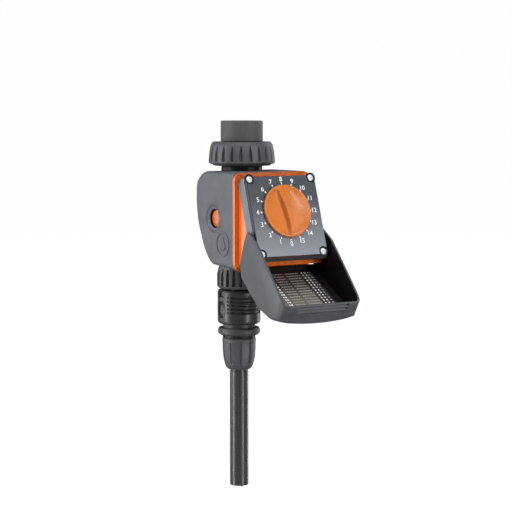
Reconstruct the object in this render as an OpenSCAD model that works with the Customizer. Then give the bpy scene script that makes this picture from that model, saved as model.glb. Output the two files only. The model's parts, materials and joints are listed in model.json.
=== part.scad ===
// Battery tap timer for drip irrigation, with its tap adapter and hose connector.
// Origin: centre of the tap adapter's mouth. +Z runs up the tap, -Y is the dial side.

/* [Tap adapter and inlet nut] */
// Outside diameter of the tap adapter's collar
collar_d = 36; // [34:0.5:37]
// Wall diameter of the adapter's female G 3/4 socket
tap_socket_d = 24.2; // [24:0.1:25]
// Height of the adapter's collar
collar_h = 17.4; // [16:0.1:17.8]
// Diameter of the inlet ring nut across its grips
inlet_nut_d = 56.8; // [52:0.2:58]
// Number of finger grooves round the inlet nut
inlet_nut_grooves = 22; // [16:1:24]

/* [Rear housing] */
// Width of the rear housing
housing_w = 72; // [70:0.5:73]
// Wall thickness of the mouldings
wall = 2.2; // [1.8:0.1:2.4]
// Diameter of the release button windows
window_d = 15.8; // [15.6:0.1:17]
// How far the outlet sits behind the inlet
outlet_y = 4.7; // [3:0.1:5]

/* [Control unit] */
// Backward lean of the dial face, in degrees
face_tilt = 18.3; // [17:0.1:19]
// Width of the dial plate
plate_w = 67; // [65:0.5:67]
// Height of the dial plate
plate_h = 67.7; // [67:0.1:68]
// Width of the orange front flange
flange_w = 74.4; // [73:0.2:75]
// Spacing of the dial plate screws across the width
screw_gap_x = 59.8; // [58:0.2:60]
// Spacing of the dial plate screws up the face
screw_gap_t = 63.2; // [62:0.2:63.4]
// Diameter of the selector knob
knob_d = 44.4; // [42:0.2:44.6]
// Height of the selector knob's finger ridge above the plate
knob_h = 5.2; // [4.6:0.1:7]

/* [Cover] */
// Outside width of the flip-down cover
cover_w = 75; // [74.8:0.1:77]
// Thickness of the cover's walls
cover_wall = 2.4; // [2:0.1:2.6]

/* [Hose connector] */
// Outside diameter of the connector's sleeve
sleeve_d = 36.9; // [35:0.1:38]
// Outside diameter of the drip hose
hose_d = 16; // [15.6:0.1:16]
// Height at which the hose stub is cut off
hose_end_z = -316; // [-400:1:-240]

/* [Hidden] */
$fn = 64;
e = 0.01;            // reach of a cutter past the face it opens
run = 0.05;          // radial clearance of a turning or sliding fit
hose_bore_d = 13;
gripped_r = hose_d / 2 - 0.3;  // the tube's outside where the nut squeezes it
barb_r = 6.8;        // the tube is stretched from its own bore over this
cover_lean = 30;     // slope of the open cover's floor; the lip stands square to it
arc_steps = 8;       // straight steps in each rounded corner of an outline

// Heights down the water path
nut_top = -17.9;
nut_low = -38;
adapter_low = -29.5;
spigot_top = -31.5;
lip_top = -34.5;
housing_top = -42;
housing_low = -121.7;
thread_low = -139;
adapter_grip_low = -143.4;
sleeve_top = -145;
sleeve_low = -174.4;
ring_top = -177.8;
ring_low = -183.8;
hose_nut_top = -186.8;
hose_nut_low = -215.4;

// Depths from the dial side to the back
housing_front = -45.5;
seal_front = -46.4;
flange_back = -46.5;
flange_front = -49.5;
housing_back = 21;
valve_z = -78;       // height of the valve's axis
button_y = -12.5;    // the release buttons and the dish round each window
button_z = -81.5;
seat_y = -6.5;
barrel_front = -8;
bonnet_front = -17;
coil_front = -35;

// The dial face: its centre, and depths measured along its outward normal
face_y = -70.8;
face_z = -76.8;
plate_back = -2;
box_front = -2.8;
box_back = -12;
dial_t = 3.4;        // how far the knob sits above the middle of the face
box_w = 67.6;
box_boss_r = 3.4;    // round the four screws, reaching past the box's top and bottom
hinge_n = -8.4;
hinge_t = -27.5;
grey = [0.36, 0.37, 0.39];
dark = [0.22, 0.23, 0.25];
black = [0.08, 0.08, 0.09];
orange = [0.88, 0.42, 0.12];

// Corner i of an outline, rounded to radius r with straight steps
function unit(v) = v / norm(v);
function fillet(a, b, c, r) =
    let (u = unit(a - b), v = unit(c - b), half = acos(u * v) / 2)
    let (centre = b + unit(u + v) * r / sin(half), p = b + u * r / tan(half) - centre)
    let (q = b + v * r / tan(half) - centre, from = atan2(p[1], p[0]))
    let (sweep = (atan2(q[1], q[0]) - from + 540) % 360 - 180)
    r == 0 ? [b] : [for (i = [0:arc_steps])
        centre + r * [cos(from + sweep * i / arc_steps), sin(from + sweep * i / arc_steps)]];
function rounded(pts, radii) =
    let (n = len(pts))
    [for (i = [0:n - 1]) each fillet(pts[(i + n - 1) % n], pts[i], pts[(i + 1) % n], radii[i])];

// Rectangle w by h about its centre, with round corners
module round_rect(w, h, r) {
    polygon(rounded([[-w / 2, -h / 2], [w / 2, -h / 2], [w / 2, h / 2], [-w / 2, h / 2]],
        [r, r, r, r]));
}

// Tube along +Z between two heights
module tube(z_low, z_high, r_out, r_in) {
    difference() {
        translate([0, 0, z_low]) cylinder(h = z_high - z_low, r = r_out);
        if (r_in > 0) translate([0, 0, z_low - 1]) cylinder(h = z_high - z_low + 2, r = r_in);
    }
}

// Solid round bar along +Z between two heights
module bar(z_low, z_high, r) {
    translate([0, 0, z_low]) cylinder(h = z_high - z_low, r = r);
}

// Children drawn along +Z run along -Y instead, from y = 0 at the valve's height
module along_valve() {
    translate([0, 0, valve_z]) rotate([90, 0, 0]) children();
}

// Children drawn in a side view (y, z) become a slab of the given width about x = 0
module slab(width) {
    translate([-width / 2, 0, 0]) rotate([90, 0, 90]) linear_extrude(width) children();
}

// Children drawn in the dial face's own frame: x across, y up the face, z out of it
module on_face() {
    translate([0, face_y, face_z]) rotate([90 - face_tilt, 0, 0]) children();
}

// The four screw places on the dial face
module at_face_screws() {
    for (sx = [-1, 1], st = [-1, 1])
        translate([sx * screw_gap_x / 2, st * screw_gap_t / 2, 0]) children();
}

// Round rubber ring about Z, of centre radius r and cord radius c
module oring(r, c) {
    rotate_extrude() translate([r, 0]) circle(r = c, $fn = 24);
}

// Wire coil about Z from 0 to height h, of centre radius r and wire radius wire
module coil(h, r, wire, turns) {
    sides = 6;
    steps = 14 * turns;
    points = [for (i = [0:steps], j = [0:sides - 1])
        let (turn = 360 * turns * i / steps, around = 360 * j / sides)
        let (reach = r + wire * cos(around))
        [reach * cos(turn), reach * sin(turn),
            wire + (h - 2 * wire) * i / steps + wire * sin(around)]];
    skin = [for (i = [0:steps - 1], j = [0:sides - 1])
        let (a = i * sides + j, b = i * sides + (j + 1) % sides)
        each [[a, b, b + sides], [a, b + sides, a + sides]]];
    ends = [[for (j = [sides - 1:-1:0]) j], [for (j = [0:sides - 1]) steps * sides + j]];
    polyhedron(points, concat(ends, skin));
}

// Finger grooves round a nut: upright round-bottomed cuts from z_low to z_high
module grooves(count, r_centre, r_cut, z_low, z_high) {
    for (i = [0:count - 1])
        rotate([0, 0, i * 360 / count]) translate([r_centre, 0, z_low])
            cylinder(h = z_high - z_low, r = r_cut, $fn = 32);
}

// ---- Tap side -------------------------------------------------------------------

module tap_adapter() {
    male_r = 16.6;       // G 1 male thread, crests only
    washer_seat = -17;
    thread_end = -14;    // the washer's chamber is a little wider than the thread
    color(black) difference() {
        union() {
            rotate_extrude() polygon([[0, -collar_h], [collar_d / 2, -collar_h],
                [collar_d / 2, -0.8], [collar_d / 2 - 0.8, 0], [0, 0]]);
            bar(adapter_low, -collar_h + e, male_r);
        }
        translate([0, 0, thread_end]) cylinder(h = 20, r = tap_socket_d / 2);
        bar(washer_seat, thread_end + e, tap_socket_d / 2 + 0.5);
        translate([0, 0, adapter_low - 1]) cylinder(h = 20, r = 9);
    }
}

module tap_washer() {
    color(black) tube(-16.95, -14.5, tap_socket_d / 2 + 0.4, 8.5);
}

// Swivel nut: its lower lip is caught under the spigot's flange
module inlet_nut() {
    thread_r = 16.65;
    r = inlet_nut_d / 2;
    color(dark) difference() {
        rotate_extrude() polygon([[0, nut_low], [24.2, nut_low], [25.6, -36.3],
            [r - 0.6, -36.3], [r, -34.9], [r - 1, -21], [r - 3, nut_top], [0, nut_top]]);
        grooves(inlet_nut_grooves, r + 0.2, 1.7, -34.2, -20.6);
        bar(lip_top, 0, thread_r);
        bar(nut_low - 1, 0, 14 + run);
    }
}

module inlet_washer() {
    color(black) tube(spigot_top + 0.02, adapter_low - 0.02, 15.6, 10.5);
}

module inlet_filter() {
    color("white") difference() {
        union() {
            bar(-32.6, -31.6, 10.3);
            bar(-46, -32.6 + e, 8.6);
        }
        bar(-45, -31, 7.6);
        for (i = [0:7], z = [-43.5, -40.5, -37.5])
            rotate([0, 0, i * 45]) translate([0, -1.1, z]) cube([10, 2.2, 2]);
    }
}

module inlet_spigot() {
    color(black) difference() {
        union() {
            bar(lip_top + 0.2, spigot_top, 15.8);
            bar(-50.4, lip_top + 0.2 + e, 14);
        }
        bar(-51, 0, 9);
        bar(-32.7, 0, 10.4);
        tube(-49.2, -47.2, 15, 12.2);
    }
}

module inlet_oring() {
    color(black) translate([0, 0, -48.2]) oring(13.1, 0.88);
}

// ---- Rear housing and valve ------------------------------------------------------

// Side outline of the rear housing, shrunk by inset
module housing_side(inset) {
    i = inset;
    polygon(rounded([
        [housing_front, housing_top - i], [housing_back - i, housing_top - i],
        [housing_back - i, -66], [13.5 - i * 1.05, -92.5], [-1 - i * 0.9, -119 + i],
        [housing_front, housing_low + i]],
        [0, 15 - i, 30, 60, 14 - i, 0]));
}

// The housing's solid form: side outline crossed with a plan with round back corners
module housing_form(inset) {
    half = housing_w / 2 - inset;
    back = housing_back - inset;
    intersection() {
        slab(housing_w + 2) housing_side(inset);
        translate([0, 0, -130]) linear_extrude(100)
            polygon(rounded([[-half, -60], [half, -60], [half, back], [-half, back]],
                [0, 0, 8 - inset, 8 - inset]));
    }
}

// Raised water-drop badge on each side wall
module badge() {
    difference() {
        cylinder(h = 0.5, r = 10.3);
        translate([0, 0, -1]) cylinder(h = 3, r = 9.4);
    }
    linear_extrude(0.5) polygon(concat([[0, 6.4]],
        [for (a = [-20:10:200]) [3.9 * cos(a), -1.8 - 3.9 * sin(a)]]));
}

// Boss that carries the outlet pipe out through the sloping back wall
module outlet_boss() {
    boss_r = 16.6;
    translate([0, outlet_y, 0]) rotate_extrude() polygon([[0, housing_low], [boss_r, housing_low],
        [boss_r, -101], [10.6, -86.5], [0, -86.5]]);
}

module rear_housing() {
    neck_r = 17.5;
    color(grey) difference() {
        union() {
            housing_form(0);
            outlet_boss();
            bar(housing_top - wall, nut_low - 0.2, neck_r);
            for (s = [-1, 1])
                translate([s * (housing_w / 2 - 0.1), -28.3, -102]) rotate([90, 0, s * 90]) badge();
        }
        housing_form(wall);
        translate([0, housing_front, -82]) cube([housing_w - 2 * wall, 4, 75.2], center = true);
        bar(-60, 0, 14.1);
        translate([0, outlet_y, 0]) bar(-130, -102.8, 14.6);
        translate([0, outlet_y, 0]) bar(-110, -80, 7.2);
        for (s = [-1, 1]) {
            translate([s * (housing_w / 2 + 71.6), button_y, button_z]) sphere(r = 72.6, $fn = 96);
            translate([s * 30, button_y, button_z]) rotate([0, s * 90, 0]) cylinder(h = 8, d = window_d);
        }
    }
}

// Four bonnet screw places, in the valve's own frame
module at_bonnet_screws() {
    for (a = [45:90:315]) rotate([0, 0, a]) translate([22.4, 0, 0]) children();
}

module valve_body() {
    barrel_r = 21;
    color("white") difference() {
        union() {
            intersection() {
                bar(-56.4, -44.3, 16.4);
                housing_form(wall + 0.15);
            }
            bar(-62, -56, 7.9);
            along_valve() bar(-3.5, -barrel_front, barrel_r);
            along_valve() bar(-11.4, 0, 7);
            along_valve() at_bonnet_screws() bar(-3.5, -barrel_front, 4);
            translate([0, outlet_y, 0]) bar(-104, valve_z, 7);
            translate([0, outlet_y, 0]) bar(-119.3, -103, 14.5);
        }
        bar(-50.5, -40, 14.05);
        bar(-64, -50, 5.5);
        along_valve() tube(1.5, 9, 16.5, 7.5);
        along_valve() bar(-seat_y, 9, 8.5);
        along_valve() bar(-outlet_y, 9, 5);
        translate([0, outlet_y, 0]) bar(-107, valve_z, 5);
        translate([0, outlet_y, 0]) bar(-120, -106, 12.05);
        along_valve() at_bonnet_screws() bar(-3, 9, 1.25);
    }
}

module diaphragm() {
    color(black) along_valve() tube(-barrel_front, -barrel_front + 1, 20.4, 9);
}

module valve_disc() {
    color(black) along_valve() tube(-seat_y + 0.02, 9, 8.9, 0.8);
}

module valve_bonnet() {
    base = 9.02;
    color("white") along_valve() difference() {
        translate([0, 0, base]) linear_extrude(-bonnet_front - base) difference() {
            union() {
                circle(r = 21);
                at_bonnet_screws() circle(r = 4.2);
            }
            circle(r = 5.08);
            at_bonnet_screws() circle(r = 1.5);
        }
        bar(8, 13, 12);
    }
}

module bonnet_screws() {
    color("silver") along_valve() at_bonnet_screws() difference() {
        union() {
            bar(-1, 17.1, 1.22);
            bar(17.02, 19.2, 2.8);
        }
        bar(18.4, 20, 1.1);
    }
}

module diaphragm_spring() {
    color("silver") along_valve() translate([0, 0, 9.1]) coil(3.8, 6.6, 0.4, 3);
}

module solenoid_coil() {
    color([0.6, 0.2, 0.1]) along_valve() difference() {
        union() {
            bar(18.9, -coil_front, 8.8);
            bar(18.9, 20.4, 10);
            bar(33.5, -coil_front, 10);
        }
        bar(18, 36, 5.1);
    }
}

module solenoid_yoke() {
    color("silver") along_valve() difference() {
        translate([-12.4, -9, 17.1]) cube([24.8, 18, 19.6]);
        translate([-10.9, -10, 18.7]) cube([21.8, 20, 16.4]);
        bar(16, 40, 5.1);
    }
}

module core_tube() {
    color("gold") along_valve() difference() {
        bar(13.1, 36.2, 5);
        bar(12, 34, 4);
    }
}

module plunger() {
    color("silver") along_valve() difference() {
        bar(9.1, 31.5, 4 - run);
        bar(25, 32, 2.7);
    }
}

module plunger_spring() {
    color("silver") along_valve() translate([0, 0, 25.1]) coil(8.7, 2, 0.35, 6);
}

module pin_header() {
    color(black) difference() {
        translate([-7, -42, -74]) cube([14, 5.2, 8]);
        for (s = [-1, 1]) translate([s * 3.5, -36, -70]) rotate([90, 0, 0]) cylinder(h = 8, r = 0.52);
    }
}

module contact_pins() {
    color("gold") for (s = [-1, 1])
        translate([s * 3.5, -36.9, -70]) rotate([90, 0, 0]) cylinder(h = 11, r = 0.5);
}

module outlet_spigot() {
    color(black) translate([0, outlet_y, 0]) difference() {
        union() {
            bar(-121.8, -106.1, 12);
            bar(-124, -121.75, 16);
            bar(thread_low, -123.9, 13.2);
        }
        bar(-150, -100, 8);
        tube(-111, -109, 13, 10.2);
    }
}

module outlet_oring() {
    color(black) translate([0, outlet_y, -110]) oring(11.1, 0.88);
}

// ---- Control unit ----------------------------------------------------------------

// Everything in front of the plane the control box is seated on
module ahead_of_box() {
    on_face() translate([-60, -90, box_back]) cube([120, 180, 80]);
}

// Ears inside the front housing's side walls that hold the latch pins
module latch_lugs() {
    lug_w = 5.1;
    for (s = [-1, 1], z = [-75.4, -89.5])
        translate([s * (27.4 + lug_w / 2) - lug_w / 2, flange_back - 1, z]) cube([lug_w, 5.5, 1.9]);
}

module front_housing() {
    wedge_low = -117.4;
    window_w = 60;
    color(orange) difference() {
        union() {
            translate([0, flange_back, -82.7]) rotate([90, 0, 0])
                linear_extrude(flange_back - flange_front) round_rect(flange_w, 81.4, 7);
            translate([0, flange_back + 3, -81.8]) rotate([90, 0, 0])
                linear_extrude(4) round_rect(66.8, 73.6, 4);
            difference() {
                translate([-box_w / 2, -90, wedge_low]) cube([box_w, 42, 69]);
                ahead_of_box();
            }
            latch_lugs();
        }
        on_face() translate([0, 0, box_back]) linear_extrude(20)
            square([box_w + 2 * run, plate_h + 2 * run], center = true);
        on_face() at_face_screws() bar(box_back, 8, box_boss_r + run);
        difference() {
            translate([-31.7, -90, wedge_low + 2]) cube([63.4, 60, 67]);
            on_face() translate([-60, -90, box_back - 2]) cube([120, 180, 80]);
            latch_lugs();
        }
        on_face() translate([-window_w / 2, -31, box_back - 3]) cube([window_w, 57.5, 10]);
        on_face() at_face_screws() bar(-16, 0, 1.3);
        for (s = [-1, 1]) translate([s * 29.4, -44.2, -92]) cylinder(h = 20, r = 1.02);
    }
}

module housing_seal() {
    color(black) translate([0, housing_front - 0.1, -81.8]) rotate([90, 0, 0])
        linear_extrude(housing_front - 0.1 - seal_front) difference() {
            round_rect(70.4, 77.6, 6);
            round_rect(67.2, 74, 4.2);
        }
}

// Round button with a domed top, standing on z = 0
module thumb_button() {
    r = 7.3;
    side = 2.1;
    rise = 1.2;
    rotate_extrude() polygon(concat([[0, 0], [r, 0]],
        [for (i = [0:arc_steps]) [r * cos(90 * i / arc_steps), side + rise * sin(90 * i / arc_steps)]]));
}

// Springy arm with a domed thumb button, hung on a pin at its front end
module release_latch(s) {
    difference() {
        union() {
            translate([s * 29.4 - 0.8, -44.2, -87.3]) cube([1.6, 36.6, 11.6]);
            translate([s * 29.4, -44.2, -87.3]) cylinder(h = 11.6, r = 1.9);
            translate([s * 30.1, button_y, button_z]) rotate([0, s * 90, 0]) thumb_button();
        }
        translate([s * 29.4, -44.2, -92]) cylinder(h = 20, r = 1 + run);
    }
}

module release_latch_left() {
    color(orange) release_latch(-1);
}

module release_latch_right() {
    color(orange) release_latch(1);
}

module latch_pins() {
    color("silver") for (s = [-1, 1]) translate([s * 29.4, -44.2, -89.4]) cylinder(h = 15.7, r = 1);
}

module battery_cradle() {
    color(black) difference() {
        translate([-26.8, -61.5, -115.2]) cube([51.6, 19.5, 29.6]);
        translate([-25.6, -60.7, -113.8]) cube([60, 30, 27]);
    }
}

module battery() {
    color([0.2, 0.25, 0.3]) {
        translate([-25.4, -60.6, -113.7]) cube([48.4, 17.4, 26.4]);
        for (s = [-1, 1])
            translate([22.9, -51.9, -100.5 + s * 6.35]) rotate([0, 90, 0]) cylinder(h = 2.2, r = 3.2);
    }
}

module battery_clip() {
    color(black) difference() {
        translate([23.4, -59, -112]) cube([4.2, 14.2, 22]);
        for (s = [-1, 1])
            translate([20, -51.9, -100.5 + s * 6.35]) rotate([0, 90, 0]) cylinder(h = 5.4, r = 3.3);
    }
}

module battery_leads() {
    color([0.7, 0.1, 0.1]) for (y = [-49.5, -54]) {
        translate([25.5, y, -88.9]) cylinder(h = 8.9, r = 0.7);
        translate([25.5, y, -80]) sphere(r = 0.7);
    }
}

module control_box() {
    depth = box_front - box_back;
    color([0.5, 0.53, 0.56]) on_face() difference() {
        union() {
            difference() {
                translate([0, 0, box_back]) linear_extrude(depth) round_rect(box_w, plate_h, 4.2);
                translate([0, 0, box_back - 1]) linear_extrude(depth - 1) round_rect(63.4, 63.4, 2);
            }
            at_face_screws() bar(box_back, box_front, box_boss_r);
        }
        at_face_screws() bar(-20, 0, 1.5);
        translate([0, dial_t, 0]) bar(-20, 0, 4.1);
        translate([0, dial_t, 0]) bar(-4.2, 0, 5.9);
        translate([-50, hinge_t, hinge_n]) rotate([0, 90, 0]) cylinder(h = 100, r = 2 + run);
    }
}

module panel_gasket() {
    color(black) on_face() translate([0, 0, box_front + 0.01]) difference() {
        linear_extrude(plate_back - box_front - 0.02) round_rect(plate_w - 1, plate_h - 1, 4);
        at_face_screws() bar(-5, 5, 1.5);
        translate([0, dial_t, 0]) bar(-5, 5, 6);
    }
}

module face_plate() {
    color(dark) on_face() difference() {
        union() {
            translate([0, 0, plate_back]) linear_extrude(-plate_back) round_rect(plate_w, plate_h, 4);
            at_face_screws() bar(plate_back, 0, 4.2);
        }
        at_face_screws() bar(-5, 5, 1.5);
        at_face_screws() bar(-1.3, 5, 3.1);
        translate([0, dial_t, 0]) bar(-5, 5, 4.1);
    }
}

module panel_screws() {
    color("silver") on_face() at_face_screws() difference() {
        union() {
            bar(-15, -1.2, 1.25);
            rotate_extrude() polygon([[0, -1.28], [2.75, -1.28], [2.75, -0.4], [1.6, 0.35], [0, 0.35]]);
        }
        for (a = [0, 90]) rotate([0, 0, a]) translate([-1.6, -0.3, -0.6]) cube([3.2, 0.6, 2]);
    }
}

module circuit_board() {
    color([0.1, 0.4, 0.2]) on_face() difference() {
        translate([-29.8, -27, -9.6]) cube([59.6, 54, 1.6]);
        translate([0, dial_t, 0]) bar(-20, 0, 2.7);
    }
}

module microcontroller() {
    color(black) on_face() translate([-22, -20, -7.98]) cube([10, 10, 1.2]);
}

module capacitor() {
    color([0.15, 0.2, 0.45]) on_face() translate([-16, 17, -9.62]) mirror([0, 0, 1]) cylinder(h = 6, r = 4);
}

module contact_socket() {
    color(black) difference() {
        translate([-7, -56.8, -74]) cube([14, 13.6, 8]);
        for (s = [-1, 1]) translate([s * 3.5, -40, -70]) rotate([90, 0, 0]) cylinder(h = 9, r = 0.56);
    }
}

module spindle_seal() {
    color(black) on_face() translate([0, dial_t, -3.1]) oring(5, 0.88);
}

// Low round knob with two scooped sides that leave a tapering finger ridge
module selector_knob() {
    r = knob_d / 2;
    rim = 3.4;           // height of the rim above the plate
    scoop_floor = 1.4;
    color(orange) on_face() translate([0, dial_t, 0]) difference() {
        union() {
            rotate_extrude() polygon([[0, 0.4], [r, 0.4], [r, 2], [r - 1, rim], [r - 10, knob_h - 0.4],
                [r - 16, knob_h], [0, knob_h]]);
            bar(-2.4, 0.41, 3.95);
            translate([-0.7, -r - 1, 0.6]) cube([1.4, 4, 2]);
        }
        for (s = [-1, 1]) intersection() {
            translate([0, 0, scoop_floor]) linear_extrude(20) polygon([[s * 6, r], [s * 4.2, 6],
                [s * 2.6, -4], [s * 1, -r], [s * 40, -r], [s * 40, r]]);
            translate([0, 0, scoop_floor]) cylinder(h = 12, r1 = 13, r2 = 60);
            bar(scoop_floor, 20, r - 2);
        }
        bar(-3, 0.9, 2.62);
    }
}

module knob_spindle() {
    color("white") on_face() translate([0, dial_t, 0]) union() {
        bar(-10.4, 0.85, 2.6);
        bar(-6, -2.5, 4 + run);
    }
}

module switch_wiper() {
    color("gold") on_face() translate([0, dial_t, 0]) difference() {
        union() {
            bar(-7.6, -7, 4.4);
            for (a = [0:120:240]) rotate([0, 0, a]) translate([0, -1, -7.6]) cube([11, 2, 0.6]);
        }
        bar(-9, -5, 2.64);
    }
}

// ---- Cover -----------------------------------------------------------------------

// The lip's own frame: its outer face is the plane y = 0, its top edge the line z = 0
module at_lip() {
    translate([0, -125.7, -145]) rotate([cover_lean, 0, 0]) children();
}

// Side outline of the open cover: arms above, floor below, lip at the front
module cover_side() {
    polygon(rounded([[-72.5, -89.7], [-84, -96.3], [-94, -108.9], [-106.5, -123.2], [-119.5, -138.9],
        [-122.2, -143.6], [-125.7, -145], [-117.4, -159.4], [-110, -157.5], [-98.4, -153],
        [-86.4, -148.2], [-73.3, -137], [-60.4, -126], [-57.2, -118], [-60.8, -103]],
        [2.5, 6, 14, 30, 6, 1.5, 0.8, 2.5, 14, 30, 25, 30, 8, 8, 12]));
}

// The space inside the cover, open at the top
module cover_space() {
    polygon(rounded([[-40, -40], [-123.6, -40], [-123.6, -143.8], [-116.7, -155.7], [-62.5, -124.4],
        [-60.2, -119.8], [-40, -119.4]],
        [0, 0, 0, 3, 4, 0, 0]));
}

// The hollow under the cover's floor, between its two arms
module cover_pocket() {
    polygon([[-103, -151], [-66.5, -129.8], [-66.5, -170], [-103, -170]]);
}

// Plan of the cover, square to its lip, with the two front corners rounded
module cover_plan(w, front, corner) {
    at_lip() translate([0, 0, -60]) linear_extrude(200) polygon(rounded([[-w / 2, 150],
        [-w / 2, front], [w / 2, front], [w / 2, 150]], [0, corner, corner, 0]));
}

module cover() {
    lip_corner = 8;      // plan radius of the lip's corners
    inner_w = cover_w - 2 * cover_wall;
    color(dark) difference() {
        intersection() {
            slab(cover_w) cover_side();
            cover_plan(cover_w, 0, lip_corner);
        }
        intersection() {
            slab(inner_w) cover_space();
            cover_plan(inner_w, cover_wall, lip_corner - cover_wall);
        }
        slab(inner_w) cover_pocket();
        at_lip() for (z = [-2.9, -5.6, -8.3]) translate([-24, -0.5, z]) cube([48, 1.1, 1.2]);
        on_face() for (s = [-1, 1]) translate([s * 34, hinge_t, hinge_n]) rotate([0, s * 90, 0])
            cylinder(h = 2.6, r = 2.02);
    }
}

module cover_pins() {
    color(black) on_face() for (s = [-1, 1])
        translate([s * 31.9, hinge_t, hinge_n]) rotate([0, s * 90, 0]) cylinder(h = 4.6, r = 2);
}

module program_label() {
    color(black) translate([0, -102, -147.2]) rotate([cover_lean, 0, 0]) translate([-28, -1, 0.04])
        cube([56, 44.6, 0.3]);
}

// ---- Outlet and hose connector -----------------------------------------------------

module outlet_adapter() {
    grip_count = 20;
    color(dark) translate([0, outlet_y, 0]) difference() {
        union() {
            rotate_extrude() polygon([[0, adapter_grip_low], [17.6, adapter_grip_low], [18.9, -140],
                [18.9, -131], [17.5, -126], [17, -124.2], [0, -124.2]]);
            bar(-160, -143, 7.95);
        }
        grooves(grip_count, 19.7, 1.3, -142, -127);
        bar(-141, -120, 13.25);
        bar(-170, -130, 5.2);
        tube(-153, -150, 10, 6.9);
        tube(-158, -156, 10, 6.6);
    }
}

module outlet_washer() {
    color(black) translate([0, outlet_y, 0]) tube(-140.95, -139.05, 13, 7);
}

module nipple_oring() {
    color(black) translate([0, outlet_y, -157]) oring(7.3, 0.66);
}

// Connector body: socket for the nipple above, hose tail and nut thread below
module connector_core() {
    color(black) translate([0, outlet_y, 0]) difference() {
        union() {
            bar(-166, sleeve_top - 1, 11.8);
            bar(ring_low, -166 + e, 13.8);
            rotate_extrude() polygon([[0, ring_low], [16.6, ring_low], [18.15, ring_low + 1.5],
                [18.15, ring_top - 1.6], [17.2, ring_top], [15.4, ring_top], [13.6, ring_top - 0.7],
                [0, ring_top - 0.7]]);
            bar(-197, ring_low + e, 12);
            bar(-210, -190, barb_r);
        }
        bar(-161, -140, 8);
        bar(-220, -150, 4.5);
        tube(-200, -188, 8.1, barb_r);
        for (a = [0:120:240]) rotate([0, 0, a]) translate([5, -2.7, -152.9]) cube([10, 5.4, 2.7]);
        rotate([0, 0, -58]) translate([12.9, -1.6, ring_top - 1]) cube([3, 3.2, 4]);
    }
}

module grip_claws() {
    color("white") translate([0, outlet_y, 0]) intersection() {
        tube(-152.8, -150.3, 11.7, 7);
        union() {
            for (a = [0:120:240]) rotate([0, 0, a]) translate([5, -2.5, -155]) cube([10, 5, 8]);
        }
    }
}

module connector_sleeve() {
    r = sleeve_d / 2;
    groove_pitch = 3.2;
    color(dark) translate([0, outlet_y, 0]) difference() {
        rotate_extrude() polygon([[0, sleeve_low], [r - 2.2, sleeve_low], [r - 0.6, sleeve_low + 1.2],
            [r, sleeve_low + 3], [r, sleeve_top - 2.4], [r - 1.6, sleeve_top], [0, sleeve_top]]);
        bar(sleeve_low - 1, -149.5, 13.9);
        bar(-160, -140, 11.9);
        difference() {
            for (i = [0:4]) tube(-153.2 - i * groove_pitch, -151.8 - i * groove_pitch, r + 1, r - 1);
            translate([0, 0, -160]) cube([60, 22.8, 40], center = true);
        }
        for (s = [-1, 1]) {
            translate([s * (r + 10), 0, -161]) sphere(r = 12.2, $fn = 96);
            translate([s * r - 1.3, -3.9, -151.4]) cube([2.6, 7.8, 7]);
        }
    }
}

module sleeve_spring() {
    color("silver") translate([0, outlet_y, -165.3]) coil(15, 12.8, 0.5, 6);
}

module hose_nut() {
    rib_count = 8;
    color(dark) translate([0, outlet_y, 0]) difference() {
        rotate_extrude() polygon([[0, hose_nut_low], [9, hose_nut_low], [10.6, -213.4], [11.9, -209.5],
            [13, -204], [13.9, -196], [14.4, -190], [14.4, hose_nut_top - 1], [13.9, hose_nut_top],
            [0, hose_nut_top]]);
        bar(-197.5, -180, 12.1);
        translate([0, 0, -209]) cylinder(h = 11.51, r1 = 9.6, r2 = 11.8);
        bar(-220, -200, 8.2);
        grooves(rib_count, 15.7, 1.7, -206, -189.5);
    }
}

module hose_collet() {
    color("white") translate([0, outlet_y, 0]) difference() {
        translate([0, 0, -207.5]) cylinder(h = 8, r1 = 9.7, r2 = 11.2);
        bar(-220, -190, gripped_r + run);
        for (a = [0:60:300]) rotate([0, 0, a]) translate([0, -0.5, -205]) cube([15, 1, 10]);
    }
}

module supply_hose() {
    free_top = -216;     // above this the nut and the barb hold the tube
    color(dark) translate([0, outlet_y, 0]) difference() {
        union() {
            bar(hose_end_z, free_top, hose_d / 2);
            bar(free_top - e, -189, gripped_r);
        }
        bar(hose_end_z - 1, -211, hose_bore_d / 2);
        bar(-211 - e, -188, barb_r + run);
    }
}

tap_adapter();
tap_washer();
inlet_nut();
inlet_washer();
inlet_filter();
inlet_spigot();
inlet_oring();
rear_housing();
valve_body();
diaphragm();
valve_disc();
valve_bonnet();
bonnet_screws();
diaphragm_spring();
solenoid_coil();
solenoid_yoke();
core_tube();
plunger();
plunger_spring();
pin_header();
contact_pins();
outlet_spigot();
outlet_oring();
front_housing();
housing_seal();
release_latch_left();
release_latch_right();
latch_pins();
battery_cradle();
battery();
battery_clip();
battery_leads();
control_box();
panel_gasket();
face_plate();
panel_screws();
circuit_board();
microcontroller();
capacitor();
contact_socket();
spindle_seal();
selector_knob();
knob_spindle();
switch_wiper();
cover();
cover_pins();
program_label();
outlet_adapter();
outlet_washer();
nipple_oring();
connector_core();
grip_claws();
connector_sleeve();
sleeve_spring();
hose_nut();
hose_collet();
supply_hose();
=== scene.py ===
"""Looks of the drip irrigation timer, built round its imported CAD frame.

Pieces are laid out in millimetres and written to Blender in metres. Z runs up the tap, -Y is the dial side.
"""
import json
import math
import random

import bmesh
import bpy
from mathutils import Matrix, Vector

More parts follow.
